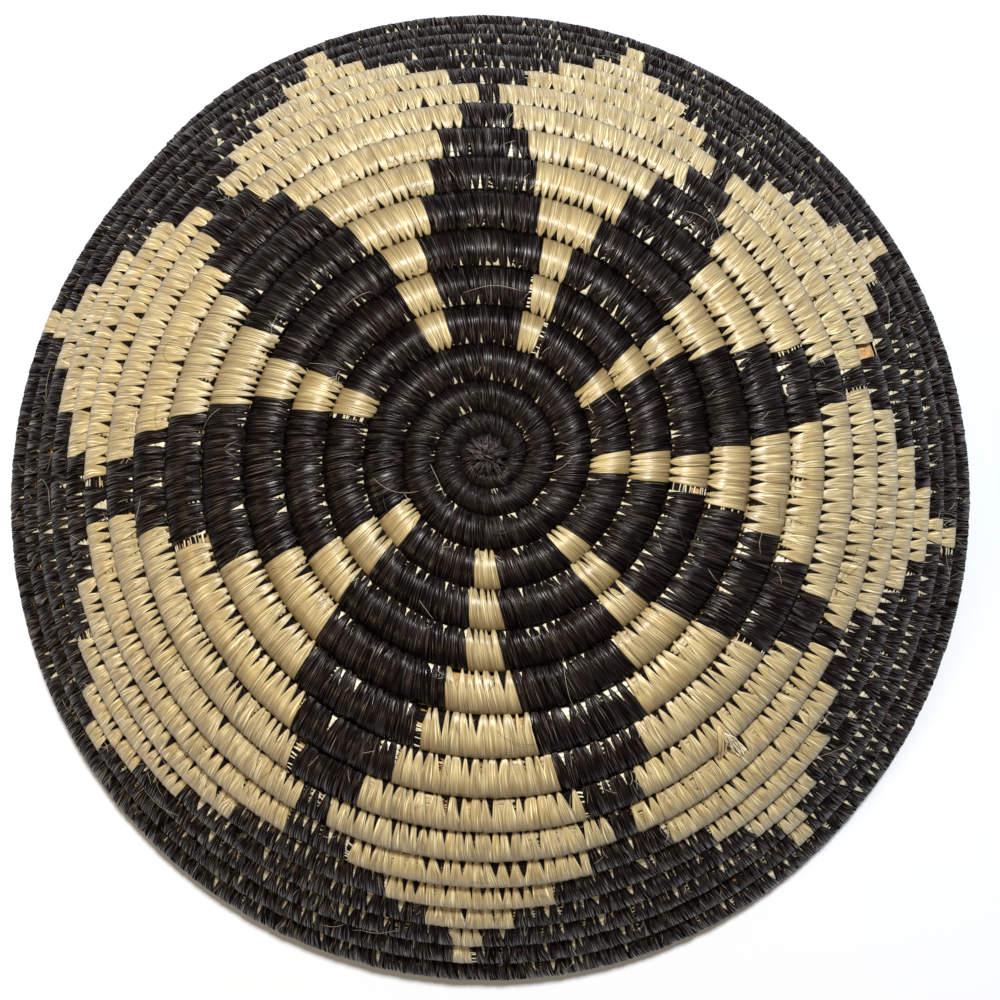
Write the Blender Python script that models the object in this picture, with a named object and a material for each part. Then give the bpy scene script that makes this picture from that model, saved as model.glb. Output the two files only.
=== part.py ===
"""Coiled sisal bowl lying on its rim: one grass coil wound from the middle of the base out to the rim.

Stitches of dark and cream sisal wrap the coil and bind each turn to the turn before it, so that every field
of one colour is a single piece, with a bore on each of its rows for the grass core."""
import math

import bmesh
import bpy
import numpy as np

# The coil, in metres and turns. A turn is counted where the coil's outer side lies.
START_THICKNESS = 0.0041
BASE_THICKNESS = 0.0098
WALL_THICKNESS = 0.0117
TAIL_THICKNESS = 0.0030
START_RADIUS = 0.0049
SWELL_TURNS = 4.0
THICKEN_TURN = 5.5
THICKEN_TURNS = 1.5
FIRST_TURN = 1.0
LAST_TURN = 17.42
TAPER_TURNS = 0.17

# The bowl's side view, followed from the middle of the base: flat, then a bend, then a straight wall.
FLAT_RADIUS = 0.0365
BEND_LENGTH = 0.1108
WALL_SLOPE = math.radians(53.3)
LEVEL_START = 0.060
LEVEL_ROWS = 2.0

# Sections, and the small gaps between pieces
ROW_GAP = 0.0006
SEAM_GAP = 0.0006
CLEARANCE = 0.0003
CORE_SHARE = 0.52
VALLEY_SHARE = 0.5
FLAT_SHARE = 0.10
KNOT_SHOULDER = 0.8

# The pattern: petals in the order in which the coil meets them, as bearings in degrees from +X.
# Each petal has its axis at the first and at the last pattern row, and a dark seam on either side.
PETAL_AXES = [
    (218.5, 212.9),
    (270.0, 267.5),
    (312.5, 312.0),
    (357.0, 353.6),
    (392.0, 391.5),
    (431.5, 431.2),
    (472.5, 472.0),
    (519.8, 519.2),
]
SEAMS = [184.4, 243.8, 290.9, 333.7, 374.2, 411.9, 449.9, 495.5, 544.4]
FIRST_PATTERN_TURN = 3
# Share of its sector that a petal fills on each pattern row, and the fuller outline of the first petal.
PETAL_SHARES = [0.24, 0.25, 0.21, 0.36, 0.49, 0.62, 0.79, 0.92, 0.73, 0.48, 0.24, 0.08, 0.06]
WIDE_PETAL_SHARES = [0.26, 0.25, 0.24, 0.35, 0.44, 0.62, 0.77, 0.89, 0.89, 0.64, 0.40, 0.20, 0.05]

GRASS = ((0.50, 0.37, 0.18), 0.85)
DARK_SISAL = ((0.030, 0.026, 0.026), 0.55)
CREAM_SISAL = ((0.74, 0.60, 0.40), 0.60)

FULL_TURN = 360.0
PROFILE_STEPS = 2001
SIDE_STEP = 0.0005
MERGE_DISTANCE = 1e-6
CUT_DISTANCE = 1e-7
SHARP_ANGLE = math.radians(70.0)
GAP_SAMPLES = 12
ROWS = len(PETAL_SHARES)
PETALS = len(PETAL_AXES)


def running_sum(values, steps):
    """Integral of values over steps, starting at zero."""
    pieces = (values[1:] + values[:-1]) / 2 * np.diff(steps)
    return np.concatenate([[0.0], np.cumsum(pieces)])


def eased(share):
    share = min(max(share, 0.0), 1.0)
    return share * share * (3.0 - 2.0 * share)


def thickness_at(turn):
    """Coil thickness laid down at a turn: it swells over the base and thickens once on the wall."""
    swell = np.sin(np.clip(turn / SWELL_TURNS, 0.0, 1.0) * math.pi / 2)
    thicken = np.clip((turn - THICKEN_TURN) / THICKEN_TURNS, 0.0, 1.0)
    base = START_THICKNESS + (BASE_THICKNESS - START_THICKNESS) * swell
    return base + (WALL_THICKNESS - BASE_THICKNESS) * thicken


TURN_STEPS = np.linspace(0.0, LAST_TURN + 1.0, PROFILE_STEPS)
EDGE_ARCS = START_RADIUS + running_sum(thickness_at(TURN_STEPS), TURN_STEPS)

ARC_STEPS = np.linspace(0.0, EDGE_ARCS[-1], PROFILE_STEPS)
SLOPES = WALL_SLOPE * np.sin(np.clip((ARC_STEPS - FLAT_RADIUS) / BEND_LENGTH, 0.0, 1.0) * math.pi / 2)
ARC_RADII = running_sum(np.cos(SLOPES), ARC_STEPS)
ARC_DROPS = running_sum(np.sin(SLOPES), ARC_STEPS)


def edge_arc(turn):
    """Distance along the side view from the middle to the coil's outer side at a turn."""
    return float(np.interp(turn, TURN_STEPS, EDGE_ARCS))


def far_arc(turn):
    """The same, with the coil's tail thinned down onto the turn before it."""
    inner = edge_arc(turn - 1.0)
    full = edge_arc(turn) - inner
    return inner + TAIL_THICKNESS + (full - TAIL_THICKNESS) * eased((LAST_TURN - turn) / TAPER_TURNS)


def wall_point(arc, lift):
    """Radius and height on the side view, with the rim's levelling lift fading out toward the base."""
    level_end = edge_arc(LAST_TURN - LEVEL_ROWS)
    weight = eased((arc - LEVEL_START) / (level_end - LEVEL_START))
    radius = float(np.interp(arc, ARC_STEPS, ARC_RADII))
    drop = float(np.interp(arc, ARC_STEPS, ARC_DROPS))
    return np.array([radius, lift * weight - drop])


def edge_pair(arc, shift, thickness, lift):
    """The valley beside a row, on the bowl's outer and inner face, shifted along the side view."""
    across = wall_point(arc + SIDE_STEP, lift) - wall_point(arc - SIDE_STEP, lift)
    along = across / np.linalg.norm(across)
    outward = np.array([-along[1], along[0]])
    middle = wall_point(arc, lift) + along * shift
    rise = outward * thickness / 2 * VALLEY_SHARE
    return middle + rise, middle - rise


# Corners of a section: two valleys toward the rim, the ridge and the belly, two valleys toward the middle,
# then the bore and the core. A side is a pair of corners that the wrapping's skin runs between.
FAR_OUT, RIDGE, NEAR_OUT, NEAR_IN, BELLY, FAR_IN = range(6)
BORE = range(6, 10)
CORE = range(10, 14)
SKIN_SIDES = [(FAR_OUT, RIDGE), (RIDGE, NEAR_OUT), (NEAR_IN, BELLY), (BELLY, FAR_IN)]
NEAR_WALL = (NEAR_OUT, NEAR_IN)
FAR_WALL = (FAR_IN, FAR_OUT)
BORE_SIDES = [(6, 7), (7, 8), (8, 9), (9, 6)]
# How the cut end of a row is skinned between its six wrapping corners and its four bore corners
END_TRIANGLES = [
    (0, 1, 6), (1, 7, 6), (1, 2, 7), (2, 3, 7), (3, 8, 7),
    (3, 4, 8), (4, 9, 8), (4, 5, 9), (5, 0, 9), (0, 6, 9),
]


def row_section(turn, lift, near_gap, far_gap):
    """Corners of one row at a turn, as radius and height on the side view."""
    near = edge_arc(turn - 1.0)
    far = far_arc(turn)
    thinned = (far - near) / (edge_arc(turn) - near)
    far_out, far_in = edge_pair(far, -far_gap / 2, thickness_at(turn) * thinned, lift)
    near_out, near_in = edge_pair(near, near_gap / 2, thickness_at(turn - 1.0), lift)
    inner = wall_point(near, lift)
    outer = wall_point(far, lift)
    middle = (inner + outer) / 2
    half = float(np.linalg.norm(outer - inner)) / 2
    along = (outer - inner) / (2 * half)
    outward = np.array([-along[1], along[0]])
    corners = [far_out, middle + outward * half, near_out, near_in, middle - outward * half, far_in]
    for room in (CLEARANCE, 0.0):
        reach = CORE_SHARE * (half - ROW_GAP / 2) + room
        rise = CORE_SHARE * half + room
        for side, up in ((1, 1), (-1, 1), (-1, -1), (1, -1)):
            corners.append(middle + along * reach * side + outward * rise * up)
    return np.array(corners)


def bend_bearings():
    """Bearings where every turn of the coil bends: the seams and the petal axes."""
    bearings = [seam % FULL_TURN for seam in SEAMS[:-1]]
    bearings += [axis[1] % FULL_TURN for axis in PETAL_AXES]
    return sorted(bearings)


BENDS = bend_bearings()
BEND_TURNS = [turn + bearing / FULL_TURN for turn in range(math.ceil(LAST_TURN) + 1) for bearing in BENDS]
START_BEND = max(turn for turn in BEND_TURNS if turn <= FIRST_TURN)
END_BEND = min(turn for turn in BEND_TURNS if turn >= LAST_TURN)
CORE_END = max(turn for turn in BEND_TURNS if turn <= LAST_TURN - TAPER_TURNS)
CORNER_TURNS = [turn for turn in BEND_TURNS if START_BEND <= turn <= END_BEND]


def swelling(bearing):
    """Radius at a bend over the true radius: half the straight runs' sagging is given back there."""
    place = BENDS.index(bearing)
    before = (bearing - BENDS[place - 1]) % FULL_TURN
    after = (BENDS[(place + 1) % len(BENDS)] - bearing) % FULL_TURN
    sags = [1.0 - math.cos(math.radians(span / 2)) for span in (before, after)]
    return 1.0 + sum(sags) / 4


def rim_lifts():
    """The rim's raise at each bend that brings its flats into one plane, and the height of that plane."""
    depths = []
    for place in range(len(BENDS)):
        outermost = max(turn for turn in BEND_TURNS[place::len(BENDS)] if turn <= END_BEND)
        rows = [row_section(turn, 0.0, ROW_GAP, ROW_GAP) for turn in (outermost, outermost - 1.0)]
        thickness = far_arc(outermost) - edge_arc(outermost - 1.0)
        depths.append(min(row[:BORE[0], 1].min() for row in rows) + FLAT_SHARE * thickness)
    level = float(np.mean(depths))
    return [level - depth for depth in depths], level


RIM_LIFTS, RIM_LEVEL = rim_lifts()


def all_sections(near_gap, far_gap):
    """Corners in space at every bend, for rows with the given gaps beside them."""
    sections = []
    first = BEND_TURNS.index(START_BEND)
    for index, turn in enumerate(CORNER_TURNS, first):
        place = index % len(BENDS)
        corners = row_section(turn, RIM_LIFTS[place], near_gap, far_gap)
        bearing = math.radians(BENDS[place])
        radii = corners[:, 0] * swelling(BENDS[place])
        spots = [radii * math.cos(bearing), radii * math.sin(bearing), corners[:, 1]]
        sections.append(np.stack(spots, axis=1))
    return np.array(sections)


LOOSE_ROW = all_sections(ROW_GAP, ROW_GAP)
FIRST_ROW = all_sections(ROW_GAP, 0.0)
BOUND_ROW = all_sections(0.0, 0.0)
LAST_ROW = all_sections(0.0, ROW_GAP)
LOWS = LOOSE_ROW.min(axis=(0, 1))
HIGHS = LOOSE_ROW.max(axis=(0, 1))
ORIGIN = np.array([(LOWS[0] + HIGHS[0]) / 2, (LOWS[1] + HIGHS[1]) / 2, RIM_LEVEL])
TOP_HEIGHT = HIGHS[2] - FLAT_SHARE * BASE_THICKNESS - RIM_LEVEL


def corner_point(sections, corner, turn):
    """One corner at any turn, on the straight run between the two nearest bends."""
    point = [np.interp(turn, CORNER_TURNS, sections[:, corner, axis]) for axis in range(3)]
    return np.array(point) - ORIGIN


def ring(sections, near_turn, middle_turn, far_turn):
    """Wrapping and bore corners where a row is cut, each side and the ridge at a turn of its own."""
    near_bore = middle_turn + (near_turn - middle_turn) * CORE_SHARE
    far_bore = middle_turn + (far_turn - middle_turn) * CORE_SHARE
    turns = [far_turn, middle_turn, near_turn, near_turn, middle_turn, far_turn]
    turns += [far_bore, near_bore, near_bore, far_bore]
    return [corner_point(sections, corner, turn) for corner, turn in enumerate(turns)]


def square_ring(sections, turn):
    return ring(sections, turn, turn, turn)


def as_turns(length, turn):
    """A short length along the coil's outer side, in turns."""
    radius = float(np.interp(edge_arc(turn), ARC_STEPS, ARC_RADII))
    return length / (2 * math.pi * radius)


def wrapping(rows, bore_end=None):
    """One closed piece of wrapping from rows of cut rings, the rows sharing the valleys between them.

    The bore runs right through, or is blind from the ring bore_end on."""
    mesh = bmesh.new()
    for index, rings in enumerate(rows):
        sides = list(SKIN_SIDES)
        if index == 0:
            sides.append(NEAR_WALL)
        if index == len(rows) - 1:
            sides.append(FAR_WALL)
        last_bored = len(rings) - 1 if bore_end is None else bore_end
        verts = []
        for step, points in enumerate(rings):
            used = points if step <= last_bored else points[:BORE[0]]
            verts.append([mesh.verts.new(point) for point in used])
        for step, (here, there) in enumerate(zip(verts, verts[1:])):
            for one, two in sides + (BORE_SIDES if step < last_bored else []):
                mesh.faces.new((here[one], here[two], there[two], there[one]))
        for end in (verts[0], verts[-1]):
            if len(end) > BORE[0]:
                for corners in END_TRIANGLES:
                    mesh.faces.new([end[corner] for corner in corners])
            else:
                mesh.faces.new(end)
                mesh.faces.new([verts[bore_end][corner] for corner in BORE])
    bmesh.ops.remove_doubles(mesh, verts=mesh.verts[:], dist=MERGE_DISTANCE)
    bmesh.ops.recalc_face_normals(mesh, faces=mesh.faces[:])
    cut_flat(mesh, 0.0, True)
    cut_flat(mesh, TOP_HEIGHT, False)
    return mesh


def cut_flat(mesh, height, keep_above):
    """Cut a solid by a level plane and close the cut."""
    bmesh.ops.bisect_plane(
        mesh,
        geom=mesh.verts[:] + mesh.edges[:] + mesh.faces[:],
        dist=CUT_DISTANCE,
        plane_co=(0.0, 0.0, height),
        plane_no=(0.0, 0.0, 1.0),
        clear_inner=keep_above,
        clear_outer=not keep_above,
    )
    open_edges = [edge for edge in mesh.edges if edge.is_boundary]
    if open_edges:
        bmesh.ops.holes_fill(mesh, edges=open_edges, sides=0)
        bmesh.ops.recalc_face_normals(mesh, faces=mesh.faces[:])


def petal_bearing(petal, side, row):
    """Bearing of a petal's first (side 0) or second edge, on a row or on the valley beside it."""
    shares = WIDE_PETAL_SHARES if petal == 0 else PETAL_SHARES
    first_axis, last_axis = PETAL_AXES[petal]
    bearings = []
    for index, share in enumerate(shares):
        axis = first_axis + (last_axis - first_axis) * index / (ROWS - 1)
        bearings.append(axis + share * (SEAMS[petal + side] - axis))
    return float(np.interp(row, range(ROWS), bearings))


def edge_turns(petal, side, row, away):
    """Turns at which a cut beside a petal's edge crosses a row's near valley, its ridge and its far valley.

    The cut lies half a seam after the edge where away is 1, and before it where away is -1."""
    turns = []
    for step in (-0.5, 0.0, 0.5):
        turn = FIRST_PATTERN_TURN + row + petal_bearing(petal, side, row + step) / FULL_TURN
        turns.append(turn + away * as_turns(SEAM_GAP / 2, turn + step - 0.5))
    return turns


def field(start_edges, middle_turn, end_edges):
    """All pattern rows of one colour between two edges, bent once at the field's own bearing."""
    rows = []
    for row in range(ROWS):
        sections = {0: FIRST_ROW, ROWS - 1: LAST_ROW}.get(row, BOUND_ROW)
        start = ring(sections, *start_edges(row))
        end = ring(sections, *end_edges(row))
        rows.append([start, square_ring(sections, middle_turn + row), end])
    return wrapping(rows)


def cream_petal(petal):
    middle = FIRST_PATTERN_TURN + PETAL_AXES[petal][1] / FULL_TURN
    return field(
        lambda row: edge_turns(petal, 0, row, 1),
        middle,
        lambda row: edge_turns(petal, 1, row, -1),
    )


def next_petal_edge(petal, row):
    """Start of the petal that follows a dark field: the last field meets the first petal one row on."""
    if petal + 1 < PETALS:
        return edge_turns(petal + 1, 0, row, -1)
    return edge_turns(0, 0, row + 1, -1)


def dark_field(petal):
    middle = FIRST_PATTERN_TURN + SEAMS[petal + 1] / FULL_TURN
    return field(
        lambda row: edge_turns(petal, 1, row, 1),
        middle,
        lambda row: next_petal_edge(petal, row),
    )


def rings_along(start, end):
    """Square rings at the bends between two turns."""
    return [square_ring(LOOSE_ROW, turn) for turn in CORNER_TURNS if start < turn < end]


def centre_wrap():
    """The dark turns at the middle, from the coil's blunt start up to the first petal."""
    start = FIRST_TURN + as_turns(CLEARANCE / 2, 0.0)
    end_turns = edge_turns(0, 0, 0, -1)
    middle = rings_along(start, min(end_turns))
    return wrapping([[square_ring(LOOSE_ROW, start)] + middle + [ring(LOOSE_ROW, *end_turns)]])


def rim_wrap():
    """The dark turn along the rim, from the end of the pattern; the tail is solid where the coil thins."""
    start_turns = edge_turns(0, 0, ROWS, 1)
    middle = rings_along(max(start_turns), LAST_TURN)
    bore_end = sum(max(start_turns) < turn <= CORE_END for turn in CORNER_TURNS)
    rings = [ring(LOOSE_ROW, *start_turns)] + middle + [square_ring(LOOSE_ROW, LAST_TURN)]
    return wrapping([rings], bore_end)


def capped_tube(rings):
    """Skin a row of rings and close both ends."""
    mesh = bmesh.new()
    rows = [[mesh.verts.new(point) for point in points] for points in rings]
    for here, there in zip(rows, rows[1:]):
        for corner in range(len(here)):
            after = (corner + 1) % len(here)
            mesh.faces.new((here[corner], here[after], there[after], there[corner]))
    mesh.faces.new(rows[0])
    mesh.faces.new(rows[-1])
    bmesh.ops.recalc_face_normals(mesh, faces=mesh.faces[:])
    return mesh


def core_rings():
    """Outlines of the grass core from the first turn to where the coil starts to thin."""
    end = CORE_END - as_turns(CLEARANCE, CORE_END)
    turns = [FIRST_TURN] + [turn for turn in CORNER_TURNS if FIRST_TURN < turn < end] + [end]
    return [[corner_point(LOOSE_ROW, corner, turn) for corner in CORE] for turn in turns]


def knot():
    """The curled-in beginning: a flat button whose outline follows the first turn's near side."""
    end = FIRST_TURN + 1.0 - as_turns(CLEARANCE, FIRST_TURN)
    turns = [FIRST_TURN] + [turn for turn in CORNER_TURNS if FIRST_TURN < turn < end] + [end]
    rise = (edge_arc(FIRST_TURN) - edge_arc(0.0)) / 2
    layers = [(KNOT_SHOULDER, -rise), (1.0, -rise / 2), (1.0, rise / 2), (KNOT_SHOULDER, rise)]
    middle = np.array([-ORIGIN[0], -ORIGIN[1], -RIM_LEVEL])
    rings = []
    for scale, height in layers:
        points = []
        for turn in turns:
            spoke = corner_point(LOOSE_ROW, NEAR_OUT, turn) - middle
            spoke[2] = 0.0
            spoke *= scale * (1.0 - CLEARANCE / np.linalg.norm(spoke))
            spoke[2] = height
            points.append(middle + spoke)
        rings.append(points)
    return capped_tube(rings)


def material(name, look):
    colour, roughness = look
    result = bpy.data.materials.new(name)
    result.use_nodes = True
    shader = result.node_tree.nodes["Principled BSDF"]
    shader.inputs["Base Color"].default_value = (*colour, 1.0)
    shader.inputs["Roughness"].default_value = roughness
    shader.inputs["Metallic"].default_value = 0.0
    return result


def make_object(name, solid, look):
    data = bpy.data.meshes.new(name)
    solid.to_mesh(data)
    solid.free()
    data.shade_smooth()
    data.set_sharp_from_angle(angle=SHARP_ANGLE)
    data.materials.append(material(name, look))
    thing = bpy.data.objects.new(name, data)
    bpy.context.scene.collection.objects.link(thing)
    return thing


def least_gap(outlines):
    """Least distance between points on a wound tube's outline and those one turn on, at its bends."""
    samples = np.linspace(0.0, 1.0, GAP_SAMPLES, endpoint=False)[:, None]
    dense = []
    for points in outlines:
        sides = zip(points, np.roll(points, -1, axis=0))
        dense.append(np.concatenate([here + (there - here) * samples for here, there in sides]))
    least = math.inf
    for here, there in zip(dense, dense[len(BENDS):]):
        apart = here[:, None, :] - there[None, :, :]
        least = min(least, float(np.linalg.norm(apart, axis=2).min()))
    return least


def build():
    for thing in list(bpy.data.objects):
        bpy.data.objects.remove(thing, do_unlink=True)
    make_object("start_knot", knot(), DARK_SISAL)
    make_object("foundation_coil", capped_tube(core_rings()), GRASS)
    make_object("dark_centre_wrap", centre_wrap(), DARK_SISAL)
    for petal in range(PETALS):
        make_object(f"cream_petal_{petal + 1:02d}", cream_petal(petal), CREAM_SISAL)
        make_object(f"dark_field_{petal + 1:02d}", dark_field(petal), DARK_SISAL)
    make_object("dark_rim_wrap", rim_wrap(), DARK_SISAL)
    print(f"least gap of the grass coil to itself: {least_gap(LOOSE_ROW[:, list(CORE)]) * 1000:.2f} mm")
    print(f"least gap of the loose wrapping to itself: {least_gap(LOOSE_ROW[:, :BORE[0]]) * 1000:.2f} mm")


build()
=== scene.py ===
"""Looks of the coiled sisal bowl: every stitch, the grass they bind, carried strands and loose fibres."""
import math

import bpy
import numpy as np
from mathutils import Matrix, Vector


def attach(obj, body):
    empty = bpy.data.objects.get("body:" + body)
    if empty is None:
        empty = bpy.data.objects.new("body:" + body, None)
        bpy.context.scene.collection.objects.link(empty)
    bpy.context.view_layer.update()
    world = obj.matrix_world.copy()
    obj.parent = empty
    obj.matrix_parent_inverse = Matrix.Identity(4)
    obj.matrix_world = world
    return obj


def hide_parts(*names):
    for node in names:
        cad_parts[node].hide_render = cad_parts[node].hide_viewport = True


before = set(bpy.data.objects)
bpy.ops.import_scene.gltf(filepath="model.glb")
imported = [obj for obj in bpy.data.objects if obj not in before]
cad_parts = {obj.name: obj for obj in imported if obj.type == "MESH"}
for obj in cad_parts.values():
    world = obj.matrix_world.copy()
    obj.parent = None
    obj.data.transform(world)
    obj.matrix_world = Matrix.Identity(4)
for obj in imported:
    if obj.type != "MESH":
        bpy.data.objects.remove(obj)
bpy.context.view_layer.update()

# The coil, in metres and turns, by the same laws as the solids, but for a tail that thins more suddenly
START_THICKNESS = 0.0041
BASE_THICKNESS = 0.0098
WALL_THICKNESS = 0.0117
TAIL_THICKNESS = 0.0030
START_RADIUS = 0.0049
SWELL_TURNS = 4.0
THICKEN_TURN = 5.5
THICKEN_TURNS = 1.5
START_TURN = 0.05
FIRST_TURN = 1.0
LAST_TURN = 17.42
TAPER_TURNS = 0.09
FLAT_RADIUS = 0.0365
BEND_LENGTH = 0.1108
WALL_SLOPE = math.radians(53.3)
LEVEL_START = 0.060
LEVEL_ROWS = 2.0
RIM_PRESS = 0.90
PROFILE_STEPS = 2001
# Where the coil's axis stands in the frame
AXIS_X = -0.00098
AXIS_Y = -0.00167

# The pattern, by bearings in degrees from +X: petals in the order in which the coil meets them
PETAL_AXES = [
    (218.5, 212.9),
    (270.0, 267.5),
    (312.5, 312.0),
    (357.0, 353.6),
    (392.0, 391.5),
    (431.5, 431.2),
    (472.5, 472.0),
    (519.8, 519.2),
]
SEAMS = [184.4, 243.8, 290.9, 333.7, 374.2, 411.9, 449.9, 495.5, 544.4]
FIRST_PATTERN_TURN = 3
PETAL_SHARES = [0.24, 0.25, 0.21, 0.36, 0.49, 0.62, 0.79, 0.92, 0.73, 0.48, 0.24, 0.08, 0.06]
WIDE_PETAL_SHARES = [0.26, 0.25, 0.24, 0.35, 0.44, 0.62, 0.77, 0.89, 0.89, 0.64, 0.40, 0.20, 0.05]
FULL_TURN = 360.0
ROWS = len(PETAL_SHARES)
PETALS = len(PETAL_AXES)
RIM_PIECES = 5
# Between two colours the row is sometimes left bare for a stitch, and once for longer. Only runs that are
# longer than some lengths of the bare place are drawn back.
BARE_SHARE = 0.09
BARE_LENGTHS = (0.0008, 0.0022)
BARE_PATCH = ("dark_04", 8)
BARE_PATCH_LENGTH = 0.0042
LEAST_RUN = 2.5


def running_sum(values, steps):
    """Integral of values over steps, starting at zero."""
    pieces = (values[1:] + values[:-1]) / 2 * np.diff(steps)
    return np.concatenate([[0.0], np.cumsum(pieces)])


def eased(share):
    share = np.clip(share, 0.0, 1.0)
    return share * share * (3.0 - 2.0 * share)


def thickness_at(turn):
    """Coil thickness laid down at a turn: it swells over the base and thickens once on the wall."""
    swell = np.sin(np.clip(turn / SWELL_TURNS, 0.0, 1.0) * math.pi / 2)
    thicken = np.clip((turn - THICKEN_TURN) / THICKEN_TURNS, 0.0, 1.0)
    base = START_THICKNESS + (BASE_THICKNESS - START_THICKNESS) * swell
    return base + (WALL_THICKNESS - BASE_THICKNESS) * thicken


# The turn before the first one is the curled-in start, which closes the middle
TURN_STEPS = np.linspace(-1.0, LAST_TURN + 1.0, PROFILE_STEPS)
EDGE_ARCS = START_RADIUS - START_THICKNESS + running_sum(thickness_at(TURN_STEPS), TURN_STEPS)
ARC_STEPS = np.linspace(0.0, EDGE_ARCS[-1], PROFILE_STEPS)
SLOPES = WALL_SLOPE * np.sin(np.clip((ARC_STEPS - FLAT_RADIUS) / BEND_LENGTH, 0.0, 1.0) * math.pi / 2)
ARC_RADII = running_sum(np.cos(SLOPES), ARC_STEPS)
ARC_DROPS = running_sum(np.sin(SLOPES), ARC_STEPS)


def edge_arc(turn):
    """Distance along the side view from the middle to the coil's outer side at a turn."""
    return np.interp(turn, TURN_STEPS, EDGE_ARCS)


def far_arc(turn):
    """The same, with the coil's tail thinned down onto the turn before it."""
    inner = edge_arc(turn - 1.0)
    full = edge_arc(turn) - inner
    return inner + TAIL_THICKNESS + (full - TAIL_THICKNESS) * eased((LAST_TURN - turn) / TAPER_TURNS)


def wall_point(arc, lift):
    """Radius and height on the side view, with the rim's levelling lift fading out toward the base."""
    level_end = edge_arc(LAST_TURN - LEVEL_ROWS)
    weight = eased((arc - LEVEL_START) / (level_end - LEVEL_START))
    return np.interp(arc, ARC_STEPS, ARC_RADII), lift * weight - np.interp(arc, ARC_STEPS, ARC_DROPS)


def row_low(turn):
    """Height of the level that a row rests on before the rim is made level."""
    inner_radius, inner_height = wall_point(edge_arc(turn - 1.0), 0.0)
    outer_radius, outer_height = wall_point(far_arc(turn), 0.0)
    half = np.hypot(outer_radius - inner_radius, outer_height - inner_height) / 2
    return (inner_height + outer_height) / 2 - RIM_PRESS * half


def rim_lifts():
    """The rim's raise at each seam and petal axis that levels it, and the height of that level."""
    bends = sorted({seam % FULL_TURN for seam in SEAMS} | {axis[1] % FULL_TURN for axis in PETAL_AXES})
    end = min(bend for bend in bends if bend >= LAST_TURN % 1.0 * FULL_TURN)
    lows = []
    for bend in bends:
        turn = math.floor(LAST_TURN) + bend / FULL_TURN - (bend > end)
        lows.append(float(min(row_low(turn), row_low(turn - 1.0))))
    level = float(np.mean(lows))
    return np.array(bends), level - np.array(lows), level


LIFT_BEARINGS, LIFTS, RIM_LEVEL = rim_lifts()
# The raise is averaged over these bearings, in degrees from the one in question
LIFT_SHIFTS = (-8.0, 0.0, 8.0)


def lift_at(turn):
    """The rim's raise at any turn, eased over the bends."""
    bearings = [turn * FULL_TURN + shift for shift in LIFT_SHIFTS]
    lifts = [np.interp(bearing, LIFT_BEARINGS, LIFTS, period=FULL_TURN) for bearing in bearings]
    return sum(lifts) / len(lifts)


def around_axis(along, off, angle, level):
    """Points at a level, so far along a bearing from the axis and so far off to its left."""
    return np.stack([
        AXIS_X + along * np.cos(angle) - off * np.sin(angle),
        AXIS_Y + along * np.sin(angle) + off * np.cos(angle),
        level + np.zeros_like(along),
    ], axis=-1)


def coil_point(turn, across, height, proud=0.0):
    """Points on the coil: across runs from 0 on the near side to 1 on the far side of a row, height is in
    half thicknesses from its middle, outward, and proud is a length to add to that."""
    lift = lift_at(turn)
    near_radius, near_height = wall_point(edge_arc(turn - 1.0), lift)
    far_radius, far_height = wall_point(far_arc(turn), lift)
    run = (far_radius - near_radius) / 2
    rise = (far_height - near_height) / 2
    half = np.hypot(run, rise)
    out = (height * half + proud) / half
    radius = (near_radius + far_radius) / 2 + run * (2 * across - 1) - rise * out
    level = (near_height + far_height) / 2 + rise * (2 * across - 1) + run * out - RIM_LEVEL
    return around_axis(radius, 0.0, turn * 2 * math.pi, level)


def turn_length(turn):
    """Length of the coil's run through one whole turn about here."""
    radius = wall_point((edge_arc(turn - 1.0) + far_arc(turn)) / 2, 0.0)[0]
    return 2 * math.pi * radius


def petal_turn(petal, side, row):
    """Turn at which a petal begins (side 0) or ends (side 1) on a pattern row."""
    shares = WIDE_PETAL_SHARES if petal == 0 else PETAL_SHARES
    first_axis, last_axis = PETAL_AXES[petal]
    row_share = min(row, ROWS - 1) / (ROWS - 1)
    axis = first_axis + (last_axis - first_axis) * row_share
    share = shares[min(row, ROWS - 1)]
    return FIRST_PATTERN_TURN + row + (axis + share * (SEAMS[petal + side] - axis)) / FULL_TURN


# Stitches. Stations run round the coil: up the outer face from the tip, down the inner face, and back.
OUTER_ACROSS = np.array([-0.10, -0.05, 0.01, 0.07, 0.14, 0.22, 0.34, 0.50, 0.66, 0.80, 0.91, 0.99])
OUTER_HEIGHT = np.array([0.44, 0.57, 0.68, 0.77, 0.86, 0.925, 0.98, 1.00, 0.94, 0.82, 0.64, 0.38])
INNER_ACROSS = np.array([0.99, 0.88, 0.72, 0.50, 0.28, 0.12, 0.0, -0.10])
INNER_HEIGHT = np.array([0.38, 0.68, 0.90, 1.00, 0.95, 0.83, 0.67, 0.44])
ACROSS = np.concatenate([OUTER_ACROSS, INNER_ACROSS])
HEIGHT = np.concatenate([OUTER_HEIGHT, -INNER_HEIGHT])
FACING = np.sign(HEIGHT)
STATIONS = len(ACROSS)
OUTERS = len(OUTER_ACROSS)
# Points of a stitch's cross-section: over the top from side to side, then back underneath
TOP_WIDTHS = np.array([-1.0, -0.78, -0.52, -0.26, 0.0, 0.26, 0.52, 0.78, 1.0])
TOPS = len(TOP_WIDTHS)
WIDTHS = np.concatenate([TOP_WIDTHS, [0.70, -0.70]])
SIDES = len(WIDTHS)
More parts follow.
